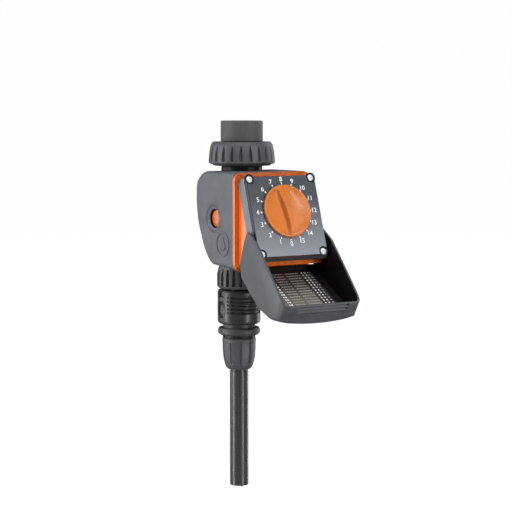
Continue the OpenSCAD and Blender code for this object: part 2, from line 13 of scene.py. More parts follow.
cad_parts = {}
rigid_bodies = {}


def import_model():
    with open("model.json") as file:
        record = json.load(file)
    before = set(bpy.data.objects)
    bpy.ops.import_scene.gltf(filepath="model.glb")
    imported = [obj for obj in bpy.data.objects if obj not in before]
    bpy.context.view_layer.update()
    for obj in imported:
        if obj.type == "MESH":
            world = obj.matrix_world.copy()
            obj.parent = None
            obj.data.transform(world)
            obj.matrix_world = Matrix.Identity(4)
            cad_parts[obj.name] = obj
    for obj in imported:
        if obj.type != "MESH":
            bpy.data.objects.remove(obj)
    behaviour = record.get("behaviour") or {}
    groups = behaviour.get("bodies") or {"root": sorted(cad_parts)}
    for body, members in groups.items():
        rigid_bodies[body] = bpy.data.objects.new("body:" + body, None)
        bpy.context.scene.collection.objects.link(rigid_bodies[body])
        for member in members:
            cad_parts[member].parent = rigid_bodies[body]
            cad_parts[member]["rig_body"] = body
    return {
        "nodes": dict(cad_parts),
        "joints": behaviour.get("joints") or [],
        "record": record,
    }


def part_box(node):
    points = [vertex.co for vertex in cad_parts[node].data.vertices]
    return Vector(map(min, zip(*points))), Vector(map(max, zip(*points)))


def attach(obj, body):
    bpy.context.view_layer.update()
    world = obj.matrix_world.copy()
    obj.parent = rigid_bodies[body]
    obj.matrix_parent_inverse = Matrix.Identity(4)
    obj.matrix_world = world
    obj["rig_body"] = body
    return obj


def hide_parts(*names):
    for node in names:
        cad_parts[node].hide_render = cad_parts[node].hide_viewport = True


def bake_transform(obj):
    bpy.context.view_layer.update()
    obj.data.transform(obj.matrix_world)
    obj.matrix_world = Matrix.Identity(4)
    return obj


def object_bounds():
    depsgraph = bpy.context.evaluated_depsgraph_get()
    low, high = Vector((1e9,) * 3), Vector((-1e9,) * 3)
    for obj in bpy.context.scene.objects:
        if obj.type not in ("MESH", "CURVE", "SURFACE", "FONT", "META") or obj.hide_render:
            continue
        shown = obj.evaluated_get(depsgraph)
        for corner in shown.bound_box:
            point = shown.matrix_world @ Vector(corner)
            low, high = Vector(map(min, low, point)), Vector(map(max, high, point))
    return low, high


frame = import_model()
size_of_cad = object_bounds()
random.seed(7)

MM = 0.001
NODES = frame["nodes"]
SLOT_OF = {s["node"]: s["material_slot"] for s in frame["record"]["subparts"]}
JOINTS = {j["name"]: j for j in frame["joints"]}
BASE = {m["slot"]: m for m in frame["record"]["materials"]}


def box_mm(node):
    """Lowest and highest corner of a CAD node, in millimetres."""
    low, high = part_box(node)
    return low / MM, high / MM


# ---------------------------------------------------------------- places read from the frame
OUTLET = Vector(JOINTS["hose_nut_turn"]["pos_m"]) / MM
OUTLET.z = 0
TAP = Vector((0, 0, 0))
DIAL_OUT = Vector(JOINTS["selector_turn"]["axis"]).normalized()
DIAL_CENTRE = Vector(JOINTS["selector_turn"]["pos_m"]) / MM
DIAL_UP = DIAL_OUT.cross(Vector((-1, 0, 0))).normalized()
if DIAL_UP.z < 0:
    DIAL_UP = -DIAL_UP
DIAL = Matrix(((1, DIAL_UP.x, DIAL_OUT.x), (0, DIAL_UP.y, DIAL_OUT.y), (0, DIAL_UP.z, DIAL_OUT.z)))


def on_dial(u, t, n):
    """A point of the dial's own frame: u across, t up the face, n out of the plate's front."""
    return DIAL_CENTRE + DIAL @ Vector((u, t, n))


# ---------------------------------------------------------------- materials
def node_link(tree, a, b):
    tree.links.new(a, b)


def ramp(tree, source, low, high, from_value, to_value):
    """Map a value range onto another, clamped."""
    node = tree.nodes.new("ShaderNodeMapRange")
    node.inputs["From Min"].default_value = low
    node.inputs["From Max"].default_value = high
    node.inputs["To Min"].default_value = from_value
    node.inputs["To Max"].default_value = to_value
    node_link(tree, source, node.inputs["Value"])
    return node.outputs["Result"]


def noise(tree, coords, scale, detail=3.0, stretch=None):
    """Noise over the object's own coordinates, stretched along an axis where asked."""
    vector = coords
    if stretch:
        mapping = tree.nodes.new("ShaderNodeMapping")
        mapping.inputs["Scale"].default_value = stretch
        node_link(tree, coords, mapping.inputs["Vector"])
        vector = mapping.outputs["Vector"]
    node = tree.nodes.new("ShaderNodeTexNoise")
    node.inputs["Scale"].default_value = scale
    node.inputs["Detail"].default_value = detail
    node_link(tree, vector, node.inputs["Vector"])
    return node.outputs["Fac"]


def mix_colour(tree, factor, a, b):
    node = tree.nodes.new("ShaderNodeMix")
    node.data_type = "RGBA"
    node_link(tree, factor, node.inputs["Factor"])
    for socket, value in ((node.inputs[6], a), (node.inputs[7], b)):
        if isinstance(value, tuple):
            socket.default_value = value
        else:
            node_link(tree, value, socket)
    return node.outputs[2]


def shade(colour, factor):
    return tuple(min(1.0, c * factor) for c in colour[:3]) + (1.0,)


def surface(name, colour, rough, metallic=0.0, mottle=0.12, grain=2600, bump=0.05, wear=0.5,
            coat=0.0, stretch=None, specular=0.5):
    """Moulded or metal surface: blotchy colour, fine grain in the bump, rubbed edges, uneven gloss."""
    material = bpy.data.materials.new(name)
    material.use_nodes = True
    tree = material.node_tree
    shader = tree.nodes["Principled BSDF"]
    coords = tree.nodes.new("ShaderNodeTexCoord").outputs["Object"]
    broad = noise(tree, coords, 55, 4, stretch)
    fine = noise(tree, coords, grain, 2, stretch)
    base = mix_colour(tree, ramp(tree, broad, 0.3, 0.7, 0, 1), shade(colour, 1 - mottle),
                      shade(colour, 1 + mottle))
    speck = mix_colour(tree, ramp(tree, fine, 0.45, 0.8, 0, 0.25), base, shade(colour, 1.35))
    geometry = tree.nodes.new("ShaderNodeNewGeometry")
    edge = ramp(tree, geometry.outputs["Pointiness"], 0.52, 0.62, 0, wear)
    worn = mix_colour(tree, edge, speck, shade(colour, 1.9))
    node_link(tree, worn, shader.inputs["Base Color"])
    gloss = ramp(tree, noise(tree, coords, 140, 3), 0.3, 0.7, rough - 0.06, rough + 0.06)
    node_link(tree, gloss, shader.inputs["Roughness"])
    relief = tree.nodes.new("ShaderNodeBump")
    relief.inputs["Strength"].default_value = bump
    relief.inputs["Distance"].default_value = 0.0002
    node_link(tree, fine, relief.inputs["Height"])
    node_link(tree, relief.outputs["Normal"], shader.inputs["Normal"])
    shader.inputs["Metallic"].default_value = metallic
    shader.inputs["Coat Weight"].default_value = coat
    shader.inputs["Coat Roughness"].default_value = 0.2
    shader.inputs["Specular IOR Level"].default_value = specular
    return material


FINISH = {
    "matte_plastic": dict(rough=0.48, bump=0.10),
    "gloss_plastic": dict(rough=0.26, bump=0.04, coat=0.1),
    "rubber": dict(rough=0.6, bump=0.12, wear=0.3),
    "chrome": dict(rough=0.16, metallic=1.0, mottle=0.05, bump=0.02, wear=0.1),
    "brushed_steel": dict(rough=0.32, metallic=1.0, mottle=0.08, bump=0.05, wear=0.2, stretch=(1, 1, 8)),
    "brass": dict(rough=0.28, metallic=1.0, mottle=0.1, bump=0.04, wear=0.2),
}
SLOT_FINISH = {"hose_rubber": dict(rough=0.3, grain=900, bump=0.03, stretch=(1, 1, 0.08))}
TINT = {  # linear colours set under the studio light, where the record's come out too dark or pale
    "black_plastic": (0.050, 0.050, 0.056),
    "dark_plastic": (0.062, 0.065, 0.073),
    "grey_plastic": (0.084, 0.091, 0.104),
    "light_grey_plastic": (0.15, 0.165, 0.19),
    "orange_plastic": (0.54, 0.100, 0.012),
    "chart_print": (0.012, 0.009, 0.010),
    "hose_rubber": (0.034, 0.035, 0.040),
}
EDGE_BLACK = (0.014, 0.014, 0.016)

looks = {}
for slot_name, slot_info in BASE.items():
    tint = TINT.get(slot_name, tuple(slot_info["base_color"]))
    finish = SLOT_FINISH.get(slot_name, FINISH[slot_info["class"]])
    looks[slot_name] = surface(slot_name, tint, **finish)
looks["plate_face"] = surface("plate_face", (0.050, 0.056, 0.068), 0.42, grain=4200, bump=0.12, wear=0.3)
looks["plate_edge"] = surface("plate_edge", EDGE_BLACK, 0.4, bump=0.05, wear=0.15, specular=0.2)
looks["ink"] = surface("ink", (0.93, 0.94, 0.95), 0.5, mottle=0.04, bump=0.03, wear=0)
looks["faded_ink"] = surface("faded_ink", (0.46, 0.42, 0.38), 0.55, mottle=0.3, bump=0.05, wear=0)
# painted shade: the cover's inside, much darker than its dark plastic outside, for the shade in its hollow
looks["cover_inside_shade"] = surface("cover_inside_shade", (0.005, 0.004, 0.006), 0.5, bump=0.06, wear=0.1,
                                specular=0.25)
looks["collar"] = surface("collar", (0.060, 0.060, 0.067), 0.62, bump=0.12, wear=0.4)
looks["coupling"] = surface("coupling", (0.030, 0.030, 0.034), 0.36, bump=0.03, wear=0.6)
looks["screw"] = surface("screw", (0.86, 0.86, 0.88), 0.4, metallic=0.35, mottle=0.05, bump=0.03, wear=0.1)
# painted light: a lighter, yellower copy of the orange plastic, for the knob's brighter lighting
looks["knob"] = surface("knob", (0.58, 0.170, 0.032), 0.3, bump=0.03, coat=0.05, wear=0.25)


# ---------------------------------------------------------------- mesh helpers
def link(obj):
    bpy.context.scene.collection.objects.link(obj)
    return obj


def mesh_piece(name, points, faces, sharp=32):
    """A closed piece from points in millimetres, its normals made to face outwards."""
    mesh = bpy.data.meshes.new(name)
    mesh.from_pydata([Vector(p) * MM for p in points], [], faces)
    bm = bmesh.new()
    bm.from_mesh(mesh)
    bmesh.ops.remove_doubles(bm, verts=bm.verts, dist=1e-7)
    bmesh.ops.dissolve_degenerate(bm, edges=bm.edges, dist=1e-8)
    bmesh.ops.recalc_face_normals(bm, faces=bm.faces)
    bm.to_mesh(mesh)
    bm.free()
    mesh.shade_smooth()
    mesh.set_sharp_from_angle(angle=math.radians(sharp))
    return link(bpy.data.objects.new(name, mesh))


def ring_faces(rings, count, closed=False):
    """Quads from each ring of count points to the next, and from the last to the first if closed."""
    faces = []
    for i in range(rings if closed else rings - 1):
        here, there = i * count, (i + 1) % rings * count
        for j in range(count):
            k = (j + 1) % count
            faces.append((here + j, here + k, there + k, there + j))
    return faces


def capped_faces(rings, count):
    """Quads between the rings, with the first and the last ring filled."""
    last = (rings - 1) * count
    return ring_faces(rings, count) + [tuple(range(count)), tuple(range(last, last + count))]


def rounded(points, radii, steps=5):
    """Outline with each corner rounded to its radius."""
    out = []
    count = len(points)
    for i, (point, radius) in enumerate(zip(points, radii)):
        before, corner, after = (Vector(points[i - 1]), Vector(point), Vector(points[(i + 1) % count]))
        if radius <= 0:
            out.append(corner)
            continue
        u, v = (before - corner).normalized(), (after - corner).normalized()
        half = u.angle(v) / 2
        reach = radius / math.tan(half)
        centre = corner + (u + v).normalized() * radius / math.sin(half)
        start, end = corner + u * reach - centre, corner + v * reach - centre
        sweep = start.angle(end)
        for k in range(steps + 1):
            f = k / steps
            arc = start * math.sin((1 - f) * sweep) + end * math.sin(f * sweep)
            out.append(centre + arc / math.sin(sweep))
    return out


def dense(outline, step):
    """The same closed outline with its long straights cut into short steps."""
    out = []
    for i, a in enumerate(outline):
        b = outline[(i + 1) % len(outline)]
        cuts = max(1, math.ceil((Vector(b) - Vector(a)).length / step))
        out += [Vector(a).lerp(Vector(b), k / cuts) for k in range(cuts)]
    return out


def lathe(name, outline, centre, steps=192, shape=None, sharp=32, place=None):
    """A closed outline of (radius, height) turned about an upright axis.

    shape(r, z, angle) gives a point's final radius and height, and place(point) puts it elsewhere.
    """
    points = []
    for r, z in map(Vector, outline):
        for j in range(steps):
            angle = 2 * math.pi * j / steps
            rr, zz = shape(r, z, angle) if shape else (r, z)
            local = Vector((rr * math.cos(angle), rr * math.sin(angle), zz))
            points.append(place(local) if place else centre + local)
    return mesh_piece(name, points, ring_faces(len(outline), steps, closed=True), sharp)


def rod(name, r, low, high, centre=None, steps=128, place=None):
    """A plain cylinder from height low to high, to cut with."""
    outline = ((0.01, low), (r, low), (r, high), (0.01, high))
    return lathe(name, outline, centre, steps, place=place)


def prism(name, loop, shift):
    """A closed loop of points pushed along a vector."""
    points = [Vector(p) for p in loop] + [Vector(p) + Vector(shift) for p in loop]
    return mesh_piece(name, points, capped_faces(2, len(loop)))


def between(table, x):
    """Straight-line reading of a table of (x, value) rows in rising x."""
    for (x0, v0), (x1, v1) in zip(table, table[1:]):
        if x <= x1:
            return v0 + (v1 - v0) * max(0.0, (x - x0) / (x1 - x0))
    return table[-1][1]


def smoothstep(x, low=0.0, high=1.0):
    t = min(1.0, max(0.0, (x - low) / (high - low)))
    return t * t * (3 - 2 * t)


def soft_edges(obj, width, angle=50):
    """A small rounded edge wherever two faces meet sharply."""
    bevel = obj.modifiers.new("bevel", "BEVEL")
    bevel.width = width * MM
    bevel.segments = 3
    bevel.limit_method = "ANGLE"
    bevel.angle_limit = math.radians(angle)
    obj.data.shade_smooth()
    obj.data.set_sharp_from_angle(angle=math.radians(30))


def paint(obj, material):
    obj.data.materials.clear()
    obj.data.materials.append(material)
    return obj


def stand_for(obj, node, look=None, keep_paint=False):
    """obj replaces a CAD node, rides on its body and takes its finish."""
    slot = SLOT_OF[node]
    if not keep_paint:
        paint(obj, looks[look or slot])
    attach(obj, NODES[node]["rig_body"])
    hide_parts(node)


def add_to(obj, body, slot, look=None):
    """obj is an extra detail that rides on a body."""
    paint(obj, looks[look or slot])
    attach(obj, body)


def boolean(obj, tool, operation):
    """Cut or join; a tool with no paint of its own takes obj's."""
    if obj.data.materials and not tool.data.materials:
        tool.data.materials.append(obj.data.materials[0])
    modifier = obj.modifiers.new("cut", "BOOLEAN")
    modifier.operation = operation
    modifier.solver = "EXACT"
    modifier.material_mode = "TRANSFER"
    modifier.object = tool
    evaluated = obj.evaluated_get(bpy.context.evaluated_depsgraph_get())
    result = bpy.data.meshes.new_from_object(evaluated)
    obj.modifiers.clear()
    obj.data = result
    bpy.data.objects.remove(tool)


def soften(obj, width, segments, angle=35):
    """Round the hard edges of a CAD node with modifiers only; its own mesh stays."""
    weld = obj.modifiers.new("weld", "WELD")
    weld.merge_threshold = 2e-6
    flat = obj.modifiers.new("flat", "DECIMATE")
    flat.decimate_type = "DISSOLVE"
    flat.angle_limit = math.radians(0.5)
    bevel = obj.modifiers.new("bevel", "BEVEL")
    bevel.width = width * MM
    bevel.segments = segments
    bevel.limit_method = "ANGLE"
    bevel.angle_limit = math.radians(angle)
    bevel.harden_normals = False
    normals = obj.modifiers.new("normals", "WEIGHTED_NORMAL")
    normals.keep_sharp = True


# ---------------------------------------------------------------- turned and grooved pieces
def flute(angle, r, count, half_width):
    """How deep a point lies in the nearest of count round flutes, from 0 outside it to 1 in its middle."""
    spot = (angle * count / (2 * math.pi)) % 1.0 - 0.5
    across = abs(spot) * 2 * math.pi * r / count
    return max(0.0, 1 - (across / half_width) ** 2) ** 0.6 if across < half_width else 0.0


def tap_adapter():
    """Collar with a knurled skin outside and a female thread inside."""
    low, high = box_mm("tap_adapter")
    collar_r, collar_low, male_r, bore_r = high.x, -17.4, 16.6, 9
    thread_r, thread_low, pitch, thread_deep = 12.1, -13.8, 1.814, 1.0
    seat_r, seat_top, seat_low = 12.6, -14, -17
    coarse, coarse_deep, fine, fine_deep = 72, 0.07, 31, 0.03
    outline = rounded(
        [(bore_r, low.z), (male_r, low.z), (male_r, collar_low), (collar_r, collar_low), (collar_r, high.z),
         (thread_r + 0.8, high.z), (thread_r, -0.8), (thread_r, seat_top), (seat_r, seat_top),
         (seat_r, seat_low), (bore_r, seat_low)],
        [0, 0.6, 0, 0.5, 0.9, 0.3, 0, 0, 0, 0, 0])

    def shape(r, z, angle):
        if r > collar_r - 0.05 and z < -1 and z > collar_low + 0.6:
            knurl = coarse_deep * (1 + math.cos(coarse * angle)) + fine_deep * (1 + math.cos(fine * angle))
            return r - knurl / 2, z
        if abs(r - thread_r) < 0.05 and thread_low < z < -0.9:
            phase = (z / pitch - angle / (2 * math.pi)) % 1.0
            return r + thread_deep * (1 - abs(2 * phase - 1)) ** 1.2, z
        return r, z

    stand_for(lathe("tap_collar", dense(outline, 0.35), TAP, 288, shape), "tap_adapter", look="collar")


def inlet_nut():
    """Ring nut: flutes that fade out towards its top and end above a plain rim at its foot."""
    low, high = box_mm("inlet_nut")
    r = high.x
    flutes, flute_top, flute_low, deep, half_width = 22, -19.4, -34.2, 2.3, 1.5
    neck_r, thread_r, shelf = 14.06, 16.65, -34.5
    outline = rounded(
        [(neck_r, low.z), (24.2, low.z), (25.0, -37.0), (r - 0.7, -36.3), (r, -35.2), (r - 0.7, -27),
         (r - 1.9, -20.6), (r - 3.7, high.z), (thread_r, high.z), (thread_r, shelf), (neck_r, shelf)],
        [0.3, 0.6, 0.3, 0.5, 0.5, 12, 2.2, 0.6, 0.3, 0, 0])

    def shape(rr, z, angle):
        if rr < r - 2.6 or z < flute_low - 0.5 or z > flute_top:
            return rr, z
        width = half_width * (0.35 + 0.65 * smoothstep(-z, -flute_top, 31))
        along = smoothstep(-z, -flute_top, -flute_top + 7) * smoothstep(z, flute_low - 0.4, flute_low + 0.6)
        return rr - deep * flute(angle, rr, flutes, width) * along, z

    stand_for(lathe("inlet_nut_grip", dense(outline, 0.5), TAP, flutes * 28, shape, 40), "inlet_nut")


def outlet_adapter():
    """Fluted ring above the quick connector, with its nipple."""
    low, high = box_mm("outlet_adapter")
    flutes, grip_low, flute_top, deep, half_width = 20, -143.4, -126, 2.4, 1.65
    bore_r, nipple_r, seal_r, latch_r, grip_r = 5.2, 7.95, 6.6, 6.9, 18.9
    inside_r, inside_floor = 13.25, -141
    outline = rounded(
        [(bore_r, low.z), (nipple_r, low.z), (nipple_r, -158), (seal_r, -158), (seal_r, -156),
         (nipple_r, -156), (nipple_r, -153), (latch_r, -153), (latch_r, -150), (nipple_r, -150),
         (nipple_r, grip_low), (17.6, grip_low), (grip_r, -141.5), (grip_r, -131), (17.6, -126.2),
         (17, high.z), (inside_r, high.z), (inside_r, inside_floor), (bore_r, inside_floor)],
        [0.2, 0.3, 0, 0, 0, 0, 0, 0, 0, 0, 0, 0.5, 1.2, 4, 1.2, 0.5, 0.2, 0, 0])

    def shape(rr, z, angle):
        if rr < 16.8 or z < -141.6 or z > flute_top:
            return rr, z
        width = half_width * (0.5 + 0.5 * smoothstep(-z, -flute_top, -flute_top + 10))
        along = smoothstep(-z, -flute_top, -flute_top + 3.5) * smoothstep(z, -141.4, -140.2)
        return rr - deep * flute(angle, rr, flutes, width) * along, z

    grip = lathe("outlet_adapter_grip", dense(outline, 0.7), OUTLET, flutes * 24, shape)
    stand_for(grip, "outlet_adapter")


def connector_sleeve():
    """Pull sleeve: wide grooved finger panels front and back, a round thumb recess on each side."""
    low, high = box_mm("connector_sleeve")
    r = (high.x - low.x) / 2
    outline = rounded(
        [(13.9, low.z), (r - 2.2, low.z), (r - 0.5, low.z + 1.2), (r, low.z + 3), (r, high.z - 1.6),
         (r - 0.9, high.z), (11.9, high.z), (11.9, -149.5), (13.9, -149.5)],
        [0.2, 0.7, 0.9, 1.5, 0.8, 0.5, 0.2, 0, 0])
    groove_z = [-150.8 - 3.2 * i for i in range(5)]
    groove_end, groove_deep, mark_low, mark_high, mark_deep = 55.0, 1.6, 58.5, 64.0, 0.8
    recess_z, recess_wide, recess_tall, recess_deep = -161.6, 6.4, 7.4, 3.9
    notch_half, notch_low, notch_deep = 4.1, high.z - 6.0, 1.9

    def shape(rr, z, angle):
        if rr < r - 0.8 or z < low.z + 2.5 or z > high.z - 0.7:
            return rr, z
        turned = abs((math.degrees(angle) + 90 + 90) % 180 - 90)
        side = math.radians(90 - turned) * r
        change = -0.15 * smoothstep(turned, 76, 78)
        cut = 0.0
        groove = 1 - smoothstep(turned, groove_end - 2, groove_end)
        mark = (smoothstep(turned, mark_low - 0.8, mark_low)
                * (1 - smoothstep(turned, mark_high, mark_high + 0.8)))
        for zc in groove_z:
            cut = max(cut, groove_deep * groove * (1 - smoothstep(abs(z - zc), 0.35, 1.35)),
                      mark_deep * mark * (1 - smoothstep(abs(z - zc), 0.3, 0.75)))
        away = math.hypot(side / recess_wide, (z - recess_z) / recess_tall)
        if away < 1:
            cut = max(cut, recess_deep * (1 - away ** 2) ** 0.45)
        cut = max(cut, notch_deep * (1 - smoothstep(side, notch_half - 0.4, notch_half))
                  * smoothstep(z, notch_low, notch_low + 0.5))
        return rr + change - cut, z

    sleeve = lathe("connector_sleeve_grip", dense(outline, 0.35), OUTLET, 480, shape, 50)
    stand_for(sleeve, "connector_sleeve", look="coupling")


def hose_nut():
    """Bullet-shaped nut with shallow panels divided by narrow grooves."""
    low, high = box_mm("hose_nut")
    panels, first, groove_top, groove_low = 10, math.radians(10), high.z - 3.6, -209.0
    thread_r, foot_r, thread_low = 12.1, 8.2, -197.5
    outline = rounded(
        [(foot_r, low.z + 1.2), (9.6, low.z + 1.4), (11.2, -212.4), (12.1, -210.4), (13.2, -206.8),
         (13.9, -203), (14.35, -197), (14.5, -190), (14.5, high.z - 1), (14.0, high.z), (thread_r, high.z),
         (thread_r, thread_low), (11.8, thread_low), (9.6, groove_low), (foot_r, groove_low)],
        [0.2, 0.6, 2, 3, 6, 12, 20, 8, 0.5, 0.3, 0.2, 0, 0, 0, 0])

    def shape(rr, z, angle):
        inside = rr < thread_r + 0.05 and z > -206.5
        if inside or rr < 9.6 or z < groove_low - 1 or z > groove_top + 0.8:
            return rr, z
        spot = ((angle - first) * panels / (2 * math.pi)) % 1.0 - 0.5
        across = abs(spot) * 2 * math.pi * rr / panels
        along = (smoothstep(z, groove_low - 0.8, groove_low + 0.8)
                 * smoothstep(-z, -groove_top - 0.6, -groove_top + 0.4))
        step = 0.9 * (1 - smoothstep(across, 0.4, 0.85))
        bow = 0.25 * (1 - math.cos(2 * math.pi * spot)) / 2
        return rr - (step + bow) * along, z

    stand_for(lathe("hose_nut_grip", dense(outline, 0.5), OUTLET, panels * 40, shape, 40), "hose_nut")


def core_rings():
    """Dark stop ring in the gap over the hose nut, with small teeth."""
    nut_top = box_mm("hose_nut")[1].z
    inner_r, outer_r, foot, top = 12.6, 14.1, nut_top + 0.12, nut_top + 3.0
    teeth, first, tall = 8, 0.9, 0.35
    outline = rounded([(inner_r, foot), (outer_r, foot), (outer_r, top), (inner_r, top)], [0, 0.3, 0, 0])

    def shape(r, z, angle):
        tooth = tall * smoothstep(math.cos(teeth * angle + first), 0.93, 0.97)
        return (r + tooth if r > outer_r - 0.6 else r), z

    ring = lathe("core_stop_ring", dense(outline, 0.5), OUTLET, 320, shape, 40)
    add_to(ring, "connector", "black_plastic", "plate_edge")


def supply_hose():
    """Drip tube, a little narrower where its nut squeezes it and wider inside where the barb sits."""
    low, high = box_mm("supply_hose")
    bore_r, tube_r, squeezed_r, barb_r, barb_low = 6.5, 8, 7.7, 6.85, -211
    outline = rounded([(bore_r, low.z), (tube_r, low.z), (tube_r, -216), (squeezed_r, -215.6),
                       (squeezed_r, high.z), (barb_r, high.z), (barb_r, barb_low), (bore_r, barb_low)],
                      [0.3, 0.4, 0, 0, 0.2, 0.2, 0, 0])

    def shape(r, z, angle):
        return r - 0.02 * (1 + math.sin(z * 0.9 + 2 * angle)) / 2, z

    stand_for(lathe("supply_tube", dense(outline, 3), OUTLET, 96, shape), "supply_hose")


# ---------------------------------------------------------------- springs
def coil_spring(name, node, start, end, moving_body, radius, wire, turns):
    """Wire wound from start to end, in place of the CAD spring, which is hidden."""
    along = (end - start).normalized()
    across = along.orthogonal().normalized()
    up = along.cross(across)
    steps, sides = turns * 36, 10
    points = []
    for k in range(steps + 1):
        share = k / steps
        angle = 2 * math.pi * turns * share
        outward = across * math.cos(angle) + up * math.sin(angle)
        middle = start + along * (wire + ((end - start).length - 2 * wire) * share) + outward * radius
        for j in range(sides):
            turn = 2 * math.pi * j / sides
            points.append(middle + (outward * math.cos(turn) + along * math.sin(turn)) * wire)
    spring = paint(mesh_piece(name, points, capped_faces(steps + 1, sides), 60), looks[SLOT_OF[node]])
    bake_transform(spring)
    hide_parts(node)


def springs():
    """The three springs, each wound where its CAD spring stands."""
    in_line = (("plunger_coil", "plunger_spring", "plunger", 2.0, 0.35, 6),
               ("diaphragm_coil", "diaphragm_spring", "valve_disc", 6.6, 0.4, 3))
    for name, node, mover, radius, wire, turns in in_line:
        low, high = box_mm(node)
        middle = (low + high) / 2
        coil_spring(name, node, Vector((middle.x, low.y, middle.z)), Vector((middle.x, high.y, middle.z)),
                    mover, radius, wire, turns)
    low, high = box_mm("sleeve_spring")
    foot, top = OUTLET + Vector((0, 0, low.z)), OUTLET + Vector((0, 0, high.z))
    coil_spring("sleeve_coil", "sleeve_spring", foot, top, "sleeve", 12.8, 0.5, 6)


# ---------------------------------------------------------------- rear housing
CASE_HALF = 36.0


def filleted_slab(name, outline, half, fillet):
    """Side outline (y, z) made 2 x half wide, its two rims rounded by the radius fillet(y, z)."""
    count = len(outline)
    normals = []
    for i in range(count):
        tangent = (outline[(i + 1) % count] - outline[i - 1]).normalized()
        normals.append(Vector((tangent.y, -tangent.x)))
    area = sum(outline[i - 1].x * outline[i].y - outline[i].x * outline[i - 1].y for i in range(count))
    turn = 1 if area > 0 else -1
    rim_steps, columns = 8, 9
    rings = []
    for side in (-1, 1):
        steps = range(rim_steps + 1) if side < 0 else reversed(range(rim_steps + 1))
        if side > 0:
            for c in range(1, columns + 1):
                share = 2 * c / (columns + 1) - 1
                rings.append([(share * (half - fillet(p.x, p.y)), p.x, p.y) for p in outline])
        for k in steps:
            phi = math.pi / 2 * k / rim_steps
            ring = []
            for point, normal in zip(outline, normals):
                radius = fillet(point.x, point.y)
                inner = point - turn * normal * radius * (1 - math.sin(phi))
                x = half - radius * (1 - math.cos(phi))
                ring.append((side * x, inner.x, inner.y))
            rings.append(ring)
    points = [p for ring in rings for p in ring]
    return mesh_piece(name, points, capped_faces(len(rings), count))


def shrunk(loop, distance):
    """Corner points of a loop moved inwards by a distance."""
    area = sum(a[0] * b[1] - b[0] * a[1] for a, b in zip(loop, loop[1:] + loop[:1]))
    turn = 1 if area > 0 else -1
    out = []
    for i, point in enumerate(loop):
        here, before, after = Vector(point), Vector(loop[i - 1]), Vector(loop[(i + 1) % len(loop)])
        n1 = Vector((before.y - here.y, here.x - before.x)).normalized()
        n2 = Vector((here.y - after.y, after.x - here.x)).normalized()
        out.append(here + turn * distance * (n1 + n2) / (1 + n1.dot(n2)))
    return out


def housing_outline(low, high, front, inset):
    """Side outline (y, z) of the rear housing, moved inwards by inset."""
    corners = shrunk([(front, high), (1, high - 0.2), (21.2, high - 2.4), (21.0, -67), (18.6, -83.5),
                      (15.0, -93.3), (9.6, -101.8), (-3.2, -116), (-9, -120.4), (front, low)], inset)
    corners[0].x = corners[-1].x = front
    return dense(rounded(corners, [0, 20, 14 - inset, 30, 40, 40, 40, 20, 10, 0], 10), 2.5)


def side_dish(side, half, window_r):
    """Cutter for one side: a shallow dish with a soft rim, and the round window in it."""
    outline = [(0.01, half + 3), (13.2, half + 3), (12.5, half + 0.1), (11.9, half - 0.08),
               (11.4, half - 0.5), (10.8, half - 1.0), (10.0, half - 1.3), (window_r + 1.0, half - 1.45),
               (window_r + 0.4, half - 1.6), (window_r, half - 2.1), (window_r, half - 6), (0.01, half - 6)]
    centre_y, centre_z = -12.5, -81.5

    def place(p):
        return Vector((side * p.z, centre_y + p.x, centre_z + side * p.y))

    return lathe("dish", outline, TAP, 96, place=place)


def rear_housing():
    """Rear case: a hollow rounded shell with a neck on top, the outlet's boss, and a dish in each side."""
    neck_top = box_mm("rear_housing")[1].z
    top, foot, half, front, wall = -42.0, -122.4, CASE_HALF, -45.5, 2.2
    neck_r, neck_bore_r, boss_r, boss_bore_r, boss_floor = 17.5, 14.1, 16.6, 14.6, -102.8

    def edge(y, z):
        behind = smoothstep(y, -4, 16)
        return 2.8 + 5.2 * behind * smoothstep(z, -119, -98) + 1 * behind * smoothstep(z, -75, -52)

    shell = filleted_slab("rear_shell", housing_outline(foot, top, front - 8, 0), half, edge)
    paint(shell, looks[SLOT_OF["rear_housing"]])
    neck = rounded([(0.5, top - 6), (neck_r, top - 6), (neck_r, neck_top), (0.5, neck_top)], [0, 0, 0.7, 0])
    boolean(shell, paint(lathe("neck", neck, TAP, 128), looks["plate_edge"]), "UNION")
    inner = filleted_slab("hollow", housing_outline(foot, top, front - 12, wall), half - wall,
                          lambda y, z: max(0.6, edge(y, z) - wall))
    boolean(shell, inner, "DIFFERENCE")
    boss = [(boss_bore_r, foot + 0.6), (boss_r, foot + 0.6), (boss_r, -101), (10.6, -86.5), (7.2, -86.5),
            (7.2, boss_floor), (boss_bore_r, boss_floor)]
    boolean(shell, lathe("boss", boss, OUTLET, 128), "UNION")
    corners = [(x, y, z) for x in (-50, 50) for y in (-90, front) for z in (-150, 0)]
    sides = [(0, 1, 3, 2), (4, 6, 7, 5), (0, 4, 5, 1), (2, 3, 7, 6), (0, 2, 6, 4), (1, 5, 7, 3)]
    boolean(shell, mesh_piece("front_cut", corners, sides), "DIFFERENCE")
    boolean(shell, rod("bore", neck_bore_r, -60, 0, TAP), "DIFFERENCE")
    boolean(shell, rod("bore", boss_bore_r, -130, boss_floor, OUTLET), "DIFFERENCE")
    for side in (-1, 1):
        boolean(shell, side_dish(side, half, 7.9), "DIFFERENCE")
    shell.data.shade_smooth()
    shell.data.set_sharp_from_angle(angle=math.radians(28))
    shell.name = "rear_case"
    stand_for(shell, "rear_housing", keep_paint=True)


